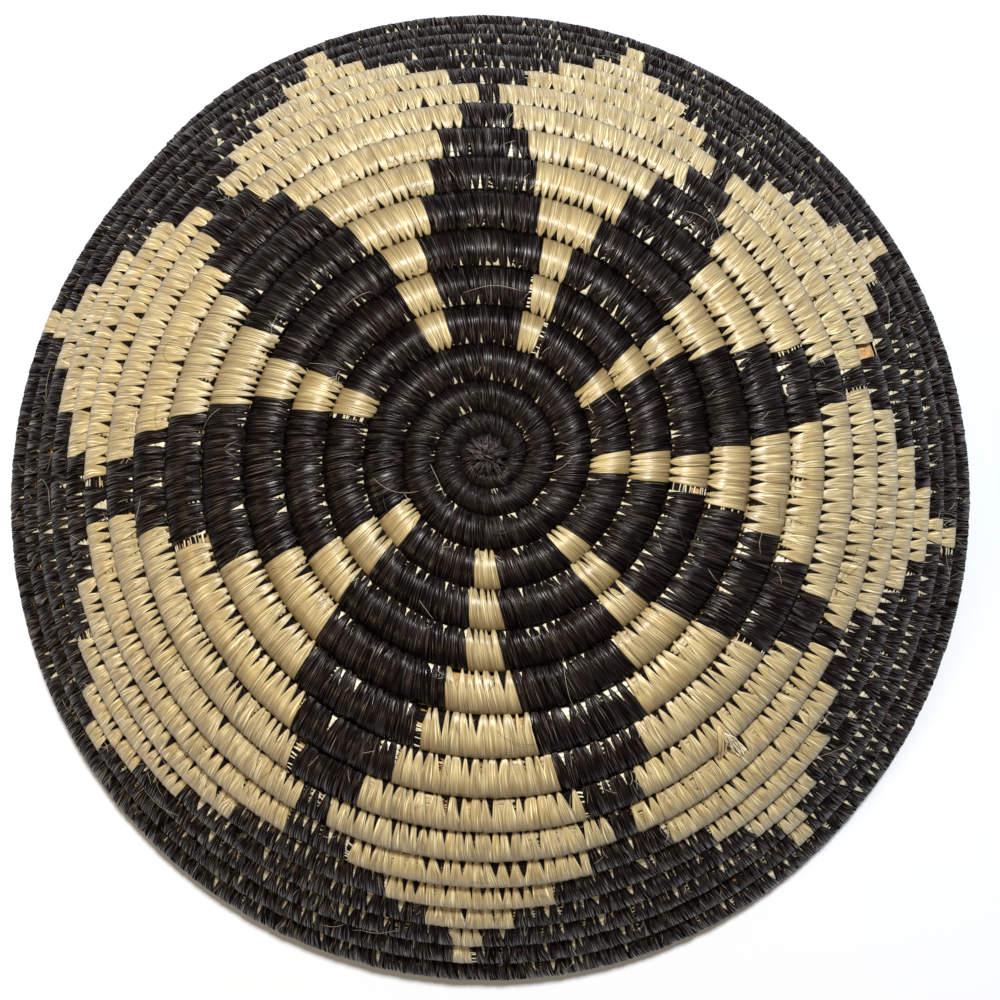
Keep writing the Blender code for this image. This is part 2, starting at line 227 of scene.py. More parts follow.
# Tips are wide or narrow, each kind with a mean and a spread of its width. The share of narrow ones and the
# reach of the gaps between tips, across the row, change by turn, and the reach is less toward +Y.
TIP_TURNS = (3.0, 6.0, 10.0, 14.0)
CREAM_TIPS = {
    "wide": (0.74, 0.09), "narrow": (0.40, 0.10), "share": (0.55, 0.62, 0.52, 0.54),
    "reach": (0.28, 0.30, 0.25, 0.28), "top": 0.4,
}
DARK_TIPS = {
    "wide": (0.92, 0.08), "narrow": (0.42, 0.10), "share": (0.32, 0.20, 0.45, 0.66),
    "reach": (0.24, 0.25, 0.34, 0.40), "top": 0.0,
}
GAP_VARIATION = (0.5, 1.25)
LEAST_TIP = 0.25
# Near the middle the stitches crowd, so their tips aren't much narrower than they are
CROWDED_TURNS = (1.0, 4.0)
CROWDING = (0.80, 0.0)
TIP_ROUNDING = 0.55
OPEN_SHARE = 1.10
STITCH_DEPTH = 0.0006
SIDE_DEPTH = 0.00006
TIP_SIDE_DEPTH = 0.00022
CROWN = 0.00004
TIP_CROWN = 0.00016
FIBRE_RIDGE = 0.000065
# A stitch's far side is ahead of its tip by a mean and a swing, in metres, that comes and goes by turn
LEAN = 0.0012
LEAN_SWING = 0.0007
LEAN_WAVES = (9.1, 2.3)
# How unlike stitches are: in lean and in the tip's place, in widths, in the place across, and in height
LEAN_SPREAD = 0.12
TIP_SPREAD = 0.14
TIP_ACROSS_SPREAD = 0.018
HEIGHT_SPREAD = 0.00006
# Width of a stitch along the coil by turn, how it varies between runs, and how far edges shift, in widths
PITCH_TURNS = (0.5, 1.5, 3.0, 6.0, 9.0, 12.0, 17.0)
PITCHES = (0.0008, 0.0011, 0.0016, 0.0020, 0.0024, 0.0028, 0.0030)
PITCH_VARIATION = (0.84, 1.16)
EDGE_SHIFT = 0.20
# How warm in colour a run may be, how its stitches differ from it, and the share that is fully warm
RUN_WARMTH = 0.7
WARMTH_SPREAD = 0.12
WARM_SHARE = 0.02
# How much painted shade a place across the row gets, most in the valleys between rows and some at the tips,
# and the turns over which stitches age
VALLEY_ACROSS = (-0.1, 0.05, 0.35, 0.7, 1.0)
VALLEY_SHADE_AMOUNTS = (0.35, 0.0, 0.0, 0.6, 0.9)
AGE_FROM = 2.0
AGE_TURNS = 14.0
# A stitch's columns and rows on the fibre map, in millimetres, and the room for random shifts there
FIBRE_WIDE = np.concatenate([TOP_WIDTHS, [1.5, 2.0, 2.5]]) * 1.25
FIBRE_LONG = np.arange(STATIONS + 1) * 1.2
FIBRE_ROOM = 500.0
# The same on its own part of the baked map, most of which is for the side that shows
SHEET_WIDE = np.concatenate([np.linspace(0.0, 0.8, TOPS), [0.86, 0.92, 0.97]])
SHEET_LONG = np.concatenate([np.linspace(0.0, 0.58, OUTERS), np.linspace(0.6, 0.97, STATIONS - OUTERS + 1)])
SHEET_ASPECT = 9.0
# A quad's corners, by row and column
QUAD = ((0, 0), (1, 0), (1, 1), (0, 1))


def grid(*sizes):
    """Numbers along each way of a grid, for each of its places."""
    return np.meshgrid(*(np.arange(size) for size in sizes), indexing="ij")


def grid_faces(stitches):
    """Quads of closed rings of stations by sides, for a number of stitches."""
    stitch, station, side = grid(stitches, STATIONS, SIDES)
    corners = [
        (stitch * STATIONS + (station + row) % STATIONS) * SIDES + (side + column) % SIDES
        for row, column in QUAD
    ]
    return np.stack(corners, axis=-1).reshape(-1, 4)


def stitch_map(wide, long):
    """Places of each quad's corners on one stitch's map, from the places of its columns and its rows."""
    station, side = grid(STATIONS, SIDES)
    places = [np.stack([wide[side + column], long[station + row]], axis=-1) for row, column in QUAD]
    return np.stack(places, axis=2)[None]


def fibre_map(stitches, rng):
    """Places across and along the fibres for each quad's corners, shifted at random."""
    shift = rng.uniform(0.0, FIBRE_ROOM, (stitches, 1, 1, 1, 2))
    return (stitch_map(FIBRE_WIDE, FIBRE_LONG) + shift).reshape(-1, 2)


def sheet_map(stitches):
    """A map with room of its own for each stitch."""
    columns = math.ceil(math.sqrt(stitches * SHEET_ASPECT))
    rows = math.ceil(stitches / columns)
    place = np.arange(stitches).reshape(-1, 1, 1, 1)
    low = np.stack([place % columns / columns, place // columns / rows], axis=-1)
    return (stitch_map(SHEET_WIDE / columns, SHEET_LONG / rows) + low).reshape(-1, 2)


def add_object(name, data):
    thing = bpy.data.objects.new(name, data)
    bpy.context.scene.collection.objects.link(thing)
    return thing


def new_mesh(name, points, quads, maps, tones=None):
    """A smooth mesh object from arrays, with its maps and a tone for each vertex."""
    data = bpy.data.meshes.new(name)
    data.vertices.add(len(points))
    data.vertices.foreach_set("co", points.astype(np.float32).ravel())
    data.loops.add(quads.size)
    data.loops.foreach_set("vertex_index", quads.astype(np.int32).ravel())
    data.polygons.add(len(quads))
    data.polygons.foreach_set("loop_start", np.arange(0, quads.size, quads.shape[1], dtype=np.int32))
    data.update(calc_edges=True)
    for map_name, places in maps.items():
        layer = data.uv_layers.new(name=map_name)
        layer.uv.foreach_set("vector", places.astype(np.float32).ravel())
    if tones is not None:
        layer = data.attributes.new("tone", "FLOAT_COLOR", "POINT")
        layer.data.foreach_set("color", tones.astype(np.float32).ravel())
    data.shade_smooth()
    data.validate()
    return add_object(name, data)


def stitch_points(centres, pitches, tips, rng):
    """Vertices of stitches that stand at these turns, each as wide as its pitch in turns."""
    each = (len(centres), 1, 1)
    centre = centres.reshape(each)
    pitch = pitches.reshape(each)
    across = ACROSS[None, :, None]
    # Each gap between tips is unlike the next
    open_until = np.interp(centre, TIP_TURNS, tips["reach"]) * rng.uniform(*GAP_VARIATION, each)
    open_until = open_until * (1.0 - tips["top"] * np.sin(centre * 2 * math.pi))
    opening = np.clip(1.0 - (across - ACROSS[0]) / (open_until - ACROSS[0]), 0.0, 1.0)
    narrow = rng.uniform(size=each) < np.interp(centre, TIP_TURNS, tips["share"])
    tip_share = np.where(narrow, rng.normal(*tips["narrow"], each), rng.normal(*tips["wide"], each))
    tip_share = np.clip(tip_share, LEAST_TIP, 1.0)
    tip_share += (1.0 - tip_share) * np.interp(centre, CROWDED_TURNS, CROWDING)
    share = OPEN_SHARE + (tip_share - OPEN_SHARE) * opening
    share = share * np.interp(across, [ACROSS[0], 0.0], [TIP_ROUNDING, 1.0])
    ahead = LEAN + LEAN_SWING * np.sin(centre * LEAN_WAVES[0]) * np.sin(centre * LEAN_WAVES[1] + 1.0)
    lean = ahead / turn_length(centre) + pitch * rng.normal(0.0, LEAN_SPREAD, each)
    middle = centre + lean * (across - 0.5) + pitch * rng.normal(0.0, TIP_SPREAD, each) * opening
    swing = pitch * share * WIDTHS / 2 * 2 * math.pi
    across = across + rng.normal(0.0, TIP_ACROSS_SPREAD, each) * opening
    top = np.arange(SIDES) < TOPS
    crown = (CROWN + (TIP_CROWN - CROWN) * opening) * (1.0 - WIDTHS**2)
    side_drop = (SIDE_DEPTH + (TIP_SIDE_DEPTH - SIDE_DEPTH) * opening) * WIDTHS**4
    ridges = rng.normal(0.0, FIBRE_RIDGE, (len(centres), 1, SIDES)) * top
    proud = np.where(top, crown + ridges - side_drop, -STITCH_DEPTH)
    proud = proud + rng.normal(0.0, HEIGHT_SPREAD, each)
    # The section's place is taken at the stitch's middle, and only the bearing follows its width
    points = coil_point(middle, across, HEIGHT[None, :, None], proud * FACING[None, :, None])
    level = np.clip(points[..., 2], 0.0, None)
    return around_axis(points[..., 0] - AXIS_X, points[..., 1] - AXIS_Y, swing, level)


def divide(start, end, rng):
    """Centres and pitches of the stitches that fill a run of the coil."""
    middle = (start + end) / 2
    pitch = float(np.interp(middle, PITCH_TURNS, PITCHES)) * rng.uniform(*PITCH_VARIATION)
    count = max(1, round((end - start) * float(turn_length(middle)) / pitch))
    edges = np.linspace(start, end, count + 1)
    step = (end - start) / count
    edges[1:-1] += rng.uniform(-EDGE_SHIFT, EDGE_SHIFT, count - 1) * step
    return (edges[1:] + edges[:-1]) / 2, np.diff(edges)


def runs_by_piece():
    """The stretches of coil, as first and last turn, that each piece of stitching covers."""
    runs = {"start": [(START_TURN, FIRST_TURN)], "dark_centre": [(FIRST_TURN, petal_turn(0, 0, 0))]}
    for row in range(ROWS):
        for petal in range(PETALS):
            end = petal_turn(petal, 1, row)
            after = petal_turn(petal + 1, 0, row) if petal + 1 < PETALS else petal_turn(0, 0, row + 1)
            runs.setdefault(f"cream_{petal + 1:02d}", []).append((petal_turn(petal, 0, row), end))
            runs.setdefault(f"dark_{petal + 1:02d}", []).append((end, after))
    rim_edges = np.linspace(petal_turn(0, 0, ROWS), LAST_TURN, RIM_PIECES + 1)
    for place in range(RIM_PIECES):
        runs[f"dark_rim_{place + 1}"] = [(rim_edges[place], rim_edges[place + 1])]
    return runs


def open_ends(runs, rng):
    """Draws some runs back from the next colour, and gives the stretches left bare as start and end."""
    bare = []
    for name, stretches in runs.items():
        if not name[-2:].isdigit():
            continue
        for row, (start, end) in enumerate(stretches):
            gap = rng.uniform(*BARE_LENGTHS) if rng.uniform() < BARE_SHARE else 0.0
            if (name, row) == BARE_PATCH:
                gap = BARE_PATCH_LENGTH
            gap /= float(turn_length(end))
            if gap and end - start > LEAST_RUN * gap:
                stretches[row] = (start, end - gap)
                bare.append((end - gap, end))
    return bare


def stitching(name, runs, tips, seed):
    """One piece of stitching over its runs. Its tone holds how bright each stitch is, how much painted shade
    a place gets toward the valleys between rows, how far out the row is, and how warm each stitch's colour
    is."""
    rng = np.random.default_rng(seed)
    divided = [divide(start, end, rng) for start, end in runs]
    centres, pitches = (np.concatenate(parts) for parts in zip(*divided))
    points = stitch_points(centres, pitches, tips, rng)
    count = len(centres)
    warmth = np.concatenate([np.full(len(run[0]), rng.uniform(0.0, RUN_WARMTH)) for run in divided])
    warm = rng.uniform(size=count) < WARM_SHARE
    warmth = np.where(warm, 1.0, warmth + rng.normal(0.0, WARMTH_SPREAD, count))
    tones = np.ones((count, STATIONS, SIDES, 4))
    tones[..., 0] = rng.uniform(0.0, 1.0, count)[:, None, None]
    # Green is painted shade: darkest in the valleys between rows and a little at the tips
    tones[..., 1] = np.interp(ACROSS, VALLEY_ACROSS, VALLEY_SHADE_AMOUNTS)[None, :, None]
    tones[..., 2] = np.clip((centres - AGE_FROM) / AGE_TURNS, 0.0, 1.0)[:, None, None]
    tones[..., 3] = np.clip(warmth, 0.0, 1.0)[:, None, None]
    maps = {"fibre": fibre_map(count, rng), "OFBake": sheet_map(count)}
    return new_mesh(name, points.reshape(-1, 3), grid_faces(count), maps, tones.reshape(-1, 4))


# Millimetres of the fibre map from side to side and from ring to ring of a tube, and from tube to tube
TUBE_FIBRE_STEP = np.array([0.28, 0.60])
TUBE_FIBRE_SHIFT = np.array([7.31, 3.17])
# A cell of the baked map: the shares that a tube's wall takes across and along it, and the strip for caps
CELL_WIDTH = 0.9
CELL_LENGTH = 0.95
CAPS_FROM = 0.92
CAPS_WIDTH = 0.05
CAPS_LENGTH = 0.9
# No tube comes nearer to the ground than this
LEAST_LEVEL = 0.0002


def unit(vectors):
    return vectors / np.linalg.norm(vectors, axis=-1, keepdims=True)


def tube_faces(rings, sides, tubes):
    """Quads of tubes of rings, with their ends closed by quads from side to side."""
    ring, side = grid(rings - 1, sides)
    after = (side + 1) % sides
    corners = [ring * sides + corner for corner in (side, after, after + sides, side + sides)]
    walls = np.stack(corners, axis=-1).reshape(-1, 4)
    caps = []
    for step in range(1, sides // 2):
        low = [step - 1, step, sides - 1 - step, (sides - step) % sides]
        caps.append(low[::-1])
        caps.append([(rings - 1) * sides + corner for corner in low])
    one = np.concatenate([walls, np.array(caps)])
    return (one[None] + (np.arange(tubes) * rings * sides)[:, None, None]).reshape(-1, 4)


def wall_corners(ring, side):
    """Side and ring of the four corners of each wall quad, from those of its first corner."""
    corners = [(side, ring), (side + 1, ring), (side + 1, ring + 1), (side, ring + 1)]
    return np.stack([np.stack(corner, axis=-1) for corner in corners], axis=2).reshape(-1, 4, 2)


def tube_map(rings, sides, tubes, cell_rings):
    """A map with a cell for each stretch of cell_rings along each tube, with the caps in a strip beside."""
    cells_each = math.ceil((rings - 1) / cell_rings)
    columns = math.ceil(math.sqrt(tubes * cells_each))
    rows = math.ceil(tubes * cells_each / columns)
    ring, side = grid(rings - 1, sides)
    walls = wall_corners(ring % cell_rings, side) / [sides, cell_rings] * [CELL_WIDTH, CELL_LENGTH]
    caps = 2 * (sides // 2 - 1)
    square = np.array([(0.0, 0.0), (1.0, 0.0), (1.0, 1.0), (0.0, 1.0)])
    cap_low = np.stack([np.full(caps, CAPS_FROM), np.arange(caps) / caps], axis=-1)
    cap_places = cap_low[:, None] + square * [CAPS_WIDTH, CAPS_LENGTH / caps]
    cells = np.concatenate([(ring // cell_rings).ravel(), np.zeros(caps, dtype=int)])
    flat = np.concatenate([walls, cap_places])[None]
    cell = (np.arange(tubes) * cells_each)[:, None] + cells[None]
    low = np.stack([cell % columns, cell // columns], axis=-1)
    return ((flat + low[:, :, None]) / [columns, rows]).reshape(-1, 2)


def tube_fibres(rings, sides, tubes):
    """Places across and along the fibres for each quad's corners of tubes, shifted from tube to tube."""
    caps = np.zeros((2 * (sides // 2 - 1), 4, 2))
    one = np.concatenate([wall_corners(*grid(rings - 1, sides)), caps])[None] * TUBE_FIBRE_STEP
    shift = np.arange(tubes)[:, None] * TUBE_FIBRE_SHIFT % FIBRE_ROOM
    return (one + shift[:, None, None]).reshape(-1, 2)


def tubes(name, paths, ups, half_width, half_thick, sides, cell_rings=None):
    """One piece of closed tubes along paths (tube, ring, place), as wide and thick as told, around ups."""
    count, rings = paths.shape[:2]
    ahead = unit(np.gradient(paths, axis=1))
    side = unit(np.cross(ups, ahead))
    up = np.cross(ahead, side)
    angle = np.linspace(0.0, 2 * math.pi, sides, endpoint=False)
    wide = (half_width * np.cos(angle))[..., None] * side[:, :, None]
    thick = (half_thick * np.sin(angle))[..., None] * up[:, :, None]
    points = paths[:, :, None] + wide + thick
    points[..., 2] = np.clip(points[..., 2], LEAST_LEVEL, None)
    maps = {
        "fibre": tube_fibres(rings, sides, count),
        "OFBake": tube_map(rings, sides, count, cell_rings or rings - 1),
    }
    return new_mesh(name, points.reshape(-1, 3), tube_faces(rings, sides, count), maps)


def end_taper(rings, least=0.15):
    """Thinning toward both ends of a tube, for each ring."""
    share = np.linspace(-1.0, 1.0, rings)
    return np.clip(np.sqrt(1.0 - share**6 * (1.0 - least**2)), least, 1.0)[None, :, None]


# The grass that the stitches bind
GRASS_START = START_TURN + 0.1
GRASS_END = LAST_TURN - 0.02
GRASS_SHARE = 0.80
GRASS_SIDES = 28
GRASS_STEMS = 9
STEM_RELIEF = 0.06
GRASS_STEPS = 72
GRASS_TWIST = 2.5


def grass_bundle():
    """The foundation: one bundle of stems, wound from the middle to where the rim thins."""
    turn = np.linspace(GRASS_START, GRASS_END, round((GRASS_END - GRASS_START) * GRASS_STEPS))[None]
    paths = coil_point(turn, 0.5, 0.0)
    ups = coil_point(turn, 0.5, 1.0) - paths
    angle = np.linspace(0.0, 2 * math.pi, GRASS_SIDES, endpoint=False)
    stems = np.abs(np.sin((angle + turn[..., None] * GRASS_TWIST) * GRASS_STEMS / 2)) - 0.5
    reach = np.linalg.norm(ups, axis=-1, keepdims=True) * (GRASS_SHARE + STEM_RELIEF * stems)
    return tubes("grass_bundle", paths, ups, reach, reach, GRASS_SIDES, GRASS_STEPS)


# Strands that run along the coil under the stitches, and show in the gaps between their tips
STRAND_SIDES = 6
STRAND_RINGS = 6
STRAND_THICKNESS = 0.0003
STRAND_TILT_STEP = 0.03
STRAND_WIDTHS = (0.0013, 0.0018)
STRAND_SHIFT = 0.008
STRAND_DRIFT = 0.01
CARRIED_PLACES = (0.01, 0.09, 0.18, 0.27, 0.36)
SHARE_TURNS = (2.4, 4.0, 9.0, 13.0)
# Gaps reach at most about this many times as far as they do on average
GAP_MARGIN = 1.4
# Where a row is bare: the share of strands that are there, the last one's place, the length tucked in at
# each end, and the first one's place on the long patch
LADDER_SHARE = 0.75
LADDER_END = 0.93
LADDER_TUCK = 0.0008
PATCH_STRANDS_FROM = 0.72
# Each colour's strands are two pieces: those inside this turn and those outside
STRAND_SPLIT_TURN = 10.6
# How much of the pale strands there is, by bearing in degrees on the wall, and by turn
PALE_BEARINGS = (15.0, 60.0, 105.0, 150.0, 210.0, 270.0, 315.0)
PALE_FACTORS = (0.34, 0.85, 0.58, 0.24, 0.56, 1.05, 1.1)
PALE_WALL_FROM = 5.0
PALE_WALL_TURNS = 4.0
PALE_TURNS = (11.5, 13.0, 15.0, 16.2)
PALE_TURN_FACTORS = (1.0, 1.3, 1.15, 0.36)


def stitch_height(across):
    """Height of the stitches' upper side at a place across the row."""
    return np.interp(across, OUTER_ACROSS, OUTER_HEIGHT)


def strands(name, spans, face):
    """One piece of strands from spans of start, end, place across the row, drift, width and depth."""
    start, end, across, drift, width, depth = (column[:, None] for column in np.array(spans).T)
    share = np.linspace(0.0, 1.0, STRAND_RINGS)
    turn = start + (end - start) * share
    across = across + drift * share
    near, paths, far = (
        coil_point(turn, across + step, (stitch_height(across + step) - depth) * face)
        for step in (-STRAND_TILT_STEP, 0.0, STRAND_TILT_STEP)
    )
    # A strand lies flat on the slope that it runs along
    ups = np.cross(np.gradient(paths, axis=1), far - near)
    taper = end_taper(STRAND_RINGS)
    return tubes(name, paths, ups, taper * width[..., None] / 2, taper * STRAND_THICKNESS / 2, STRAND_SIDES)


def pale_factor(turn):
    """How much of the pale strands there is: on the wall few on the left and most on the lower right, more
    in the rows before the rim, and few at the rim."""
    side = np.interp(turn * FULL_TURN, PALE_BEARINGS, PALE_FACTORS, period=FULL_TURN)
    side = 1.0 + (side - 1.0) * eased((turn - PALE_WALL_FROM) / PALE_WALL_TURNS)
    return side * np.interp(turn, PALE_TURNS, PALE_TURN_FACTORS)


def carried_spans(runs, tips, shares, lengths, depth, rng, factor=None):
    """Stretches of strand under a field's stitches, as far across the row as the gaps between these tips
    reach, or all the way without tips. They cover these shares of the runs, by turn."""
    spans = []
    for start, end in runs:
        place = start
        while place < end:
            share = np.interp(place, SHARE_TURNS, shares) * (factor(place) if factor else 1.0)
            stop = min(place + rng.uniform(*lengths) / float(turn_length(place)), end)
            deepest = 1.0
            if tips:
                deepest = GAP_MARGIN * np.interp(place, TIP_TURNS, tips["reach"]) * (1.0 + tips["top"])
            if rng.uniform() < share:
                for across in CARRIED_PLACES:
                    near = across + rng.normal(0.0, STRAND_SHIFT)
                    drift = rng.normal(0.0, STRAND_DRIFT)
                    width = rng.uniform(*STRAND_WIDTHS)
                    if across < deepest:
                        spans.append((place, stop, near, drift, width, depth))
            place = stop
    return spans


def ladder_spans(bare, first, step, widths, depth, rng):
    """Strands across the row's width where it is bare between two colours, some left out; on the long
    patch only on its far side."""
    spans = []
    for start, end in bare:
        whole = float(turn_length(end))
        patch = (end - start) * whole > BARE_LENGTHS[1]
        tuck = LADDER_TUCK / whole
        for across in np.arange(PATCH_STRANDS_FROM if patch else first, LADDER_END, step):
            near = across + rng.normal(0.0, step / 3)
            drift = rng.normal(0.0, step / 3)
            width = rng.uniform(*widths)
            if rng.uniform() < LADDER_SHARE:
                spans.append((start - tuck, end + tuck, near, drift, width, depth))
    return spans


# Loose fibres that lie over the rows, most of them outside. They bend by one angle over their length and
# curl to and fro by another, in radians.
OUTSIDE_SHARE = 0.75
HAIR_RINGS = 14
HAIR_SIDES = 4
HAIR_TURNS = (1.5, LAST_TURN - 1.6)
HAIR_BEND = 0.7
HAIR_CURL = 0.15
HAIR_WAVES = 6.0
HAIR_MARGIN = 0.3
HAIR_ARCHES = (0.0002, 0.0012)
HAIR_HEIGHT = 0.86
HAIR_CLEARANCE = 0.0003
HAIR_ENDS = 0.4
# Short ends of fibre by the tips of stitches
STRAY_RINGS = 6
STRAY_TURNS = (2.5, LAST_TURN - 0.3)
STRAY_LENGTHS = (0.0010, 0.0036)
STRAY_BEND = 0.4
STRAY_PLACES = (-0.06, 0.16)
STRAY_RISES = (0.0001, 0.0007)
CLEARANCE = 0.0002
STRAY_ENDS = 0.5
FRAYED_SPREAD = 0.0008


def fibres(name, turn, across, height, proud, face, ends, radius):
    """One piece of round fibres along these places on the coil's outer or inner face, thinner at the ends."""
    paths, above = (coil_point(turn, across, height * face, (proud + up) * face) for up in (0.0, 0.001))
    thick = end_taper(paths.shape[1], ends) * radius
    return tubes(name, paths, above - paths, thick, thick, HAIR_SIDES)


def faces(size, rng):
    """The bowl's outside, 1, or its inside, -1, for each of some fibres."""
    return np.where(rng.uniform(size=size) < OUTSIDE_SHARE, 1.0, -1.0)


def scattered_turns(ends, size, rng):
    """Turns spread evenly over the bowl between two turns."""
    first, last = ends
    return np.sqrt(rng.uniform(first**2, last**2, size))


def hairs(name, count, lengths, radius, rng):
    """Loose fibres that curve over the rows, a little way off the stitches."""
    each = (count, 1)
    face = faces(each, rng)
    first = scattered_turns(HAIR_TURNS, each, rng)
    length = rng.uniform(*lengths, each)
    share = np.linspace(0.0, 1.0, HAIR_RINGS)
    bend = rng.normal(0.0, HAIR_BEND, each)
    curl = rng.normal(0.0, HAIR_CURL, each)
    heading = rng.uniform(0.0, 2 * math.pi, each) + bend * share + curl * np.sin(share * HAIR_WAVES)
    step = length / (HAIR_RINGS - 1)
    outward = np.cumsum(np.cos(heading), axis=1) * step / WALL_THICKNESS + rng.uniform(0.0, 1.0, each)
    turn = first + np.cumsum(np.sin(heading), axis=1) * step / turn_length(first)
    row = np.clip(np.floor(outward), None, np.floor(LAST_TURN - HAIR_MARGIN - turn))
    across = np.clip(outward - row, 0.0, 1.0)
    arch = np.sin(share * math.pi) * rng.uniform(*HAIR_ARCHES, each)
    height = np.maximum(stitch_height(across), HAIR_HEIGHT)
    return fibres(name, turn + row, across, height, HAIR_CLEARANCE + arch, face, HAIR_ENDS, radius)


def stray_ends(name, first, spread, radius, rng):
    """Short ends of fibre that stick up near the tips of the stitches, fanning by this spread."""
    each = (len(first), 1)
    first = first.reshape(each)
    face = faces(each, rng)
    share = np.linspace(0.0, 1.0, STRAY_RINGS)
    length = rng.uniform(*STRAY_LENGTHS, each)
    heading = rng.normal(0.0, spread, each) + rng.normal(0.0, STRAY_BEND * spread, each) * share
    turn = first + length * np.sin(heading) * share / turn_length(first)
    across = rng.uniform(*STRAY_PLACES, each) + length * np.cos(heading) * share / WALL_THICKNESS
    proud = CLEARANCE + rng.uniform(*STRAY_RISES, each) * share
    return fibres(name, turn, across, stitch_height(across), proud, face, STRAY_ENDS, radius)


def frayed_turns(runs, places, fibres_each, rng):
    """Turns of some fibres each beside the ends of some runs, picked at random."""
    ends = rng.choice(np.ravel(runs, order="F"), places, replace=False)
    middle = np.repeat(ends, fibres_each)
    return middle + rng.normal(0.0, FRAYED_SPREAD, len(middle)) / turn_length(middle)


# The knotted middle: tufts that fan out from it over the first turn in two layers, a twisted strand across
# it, and loose fibres over both. A layer has its number of tufts and the radii where they start and end.
TUFT_LAYERS = ((23, 0.0013, 0.0058), (12, 0.0008, 0.0038))
TUFT_FIBRES = 3
TUFT_WIDTH = 0.0008
TUFT_LEVEL = 0.0006
TUFT_LAYER_RISE = 0.0007
TWIST_FIBRES = 12
TWIST_RINGS = 20
TWIST_RADIUS = 0.0042
TWIST_REACH = 0.00052
TWIST_WINDING = 4.6
TWIST_BEARING = 0.06
TWIST_LEVEL = 0.0021
KNOT_FIBRES = 40
KNOT_DIP = 0.0013
KNOT_TOP = float(coil_point(0.6, 0.5, 1.0)[2])


def knot_strands(name, paths, widths, thickness, rng):
    ups = np.zeros_like(paths)
    ups[..., 2] = 1.0
    width = rng.uniform(*widths, len(paths))[:, None, None] / 2
    taper = end_taper(paths.shape[1], 0.3)
    return tubes(name, paths, ups, taper * width, taper * thickness / 2, STRAND_SIDES)


def centre_fan(rng):
    """Tufts from the middle over the first turn, of a few fibres side by side, the lower layer longer."""
    share = np.linspace(0.0, 1.0, HAIR_RINGS)[None]
    widening = 0.35 + 0.65 * np.sin(share * 2.4)
    layers = []
    for layer, (tufts, start, end) in enumerate(TUFT_LAYERS):
        each = (tufts, 1)
        angle = (np.arange(tufts)[:, None] + rng.normal(0.0, 0.22, each)) * 2 * math.pi / tufts
        reach = end * rng.uniform(0.86, 1.04, each)
        arch = rng.uniform(0.0001, 0.0009, each)
        swing = rng.normal(0.0, 0.0005, each)
        low = KNOT_TOP + TUFT_LEVEL + TUFT_LAYER_RISE * layer
        for fibre in range(TUFT_FIBRES):
            beside = (fibre - (TUFT_FIBRES - 1) / 2) / TUFT_FIBRES * TUFT_WIDTH * widening
            along = start + share * (reach * rng.uniform(0.93, 1.03, each) - start)
            off = beside + swing * share**2 + rng.normal(0.0, 0.00005, each)
            level = low + arch * np.sin(share * math.pi) - KNOT_DIP * share**3
            layers.append(around_axis(along, off, angle, level))
    return knot_strands("centre_fan", np.concatenate(layers), (0.00024, 0.00034), 0.0005, rng)


def centre_crossing(rng):
    """A strand of two parts twisted together across the middle, and thin loose fibres any way over it."""
    share = np.linspace(-1.0, 1.0, TWIST_RINGS)[None]
    part = (np.arange(TWIST_FIBRES) % 2)[:, None]
    phase = part * math.pi + rng.normal(0.0, 0.5, part.shape) + share * TWIST_WINDING
    reach = TWIST_REACH * (1.0 - 0.6 * share**4)
    along = share * TWIST_RADIUS * rng.uniform(0.85, 1.05, part.shape) - 0.0004
    off = reach * np.cos(phase) + 0.0005 * share**2 - 0.0006
    level = KNOT_TOP + TWIST_LEVEL + reach * np.sin(phase) - KNOT_DIP * share**4
    twisted = around_axis(along, off, TWIST_BEARING, level)
    each = (KNOT_FIBRES, 1)
    angle = rng.uniform(0.0, math.pi, each)
    along = share * rng.uniform(0.0015, 0.0030, each) + rng.normal(0.0, 0.0012, each)
    off = rng.normal(0.0, 0.0016, each) + rng.normal(0.0, 0.0005, each) * share**2
    spread = np.hypot(along, off) / TUFT_LAYERS[0][2]
    level = KNOT_TOP + rng.uniform(0.0014, 0.0020, each) - KNOT_DIP * spread**2
    paths = np.concatenate([twisted, around_axis(along, off, angle, level)])
    widths = np.where(np.arange(len(paths)) < TWIST_FIBRES, 0.00036, 0.00010)
    return knot_strands("centre_crossing", paths, (widths * 0.8, widths * 1.2), 0.00018, rng)


# The splice: a loose twist of fibre that lies from one row over the next, and warmer wisps that lead into
# it. Each has its first turn, the places across the rows where it begins and ends, its half width, and how
# far it drifts along the coil.
SPLICE_TWIST = (9.8650, 0.34, 1.24, 0.0016, 0.0010)
SPLICE_WISPS = (9.8615, 0.12, 0.97, 0.0016, -0.0032)
SPLICE_FIBRES = 24
SPLICE_RINGS = 20
SPLICE_RISE = 0.0005
SPLICE_HEIGHT = 0.80
SPLICE_RADIUS = 0.00014


def splice(name, place, turns, rng):
    """Part of the tuft where a new strand of sisal was let in, twisted by this much and open at its end."""
    first, near, far, spread, drift = place
    share = np.linspace(0.0, 1.0, SPLICE_RINGS)[None]
    each = (SPLICE_FIBRES, 1)
    phase = rng.uniform(0.0, 2 * math.pi, each)
    reach = rng.uniform(0.1, 1.0, each) * np.sin(0.2 + share * 2.1) ** 0.8
    twist = phase + share * turns
    turn = first + (spread * reach * np.cos(twist) + drift * (share - 0.5)) / float(turn_length(first))
    outward = near + (far - near) * share + np.zeros_like(turn)
    row = np.floor(outward)
    across = outward - row
    proud = CLEARANCE + SPLICE_RISE * reach * (1.0 + np.sin(twist))
    height = np.maximum(stitch_height(across), SPLICE_HEIGHT)
    return fibres(name, turn + row, across, height, proud, 1.0, HAIR_ENDS, SPLICE_RADIUS)


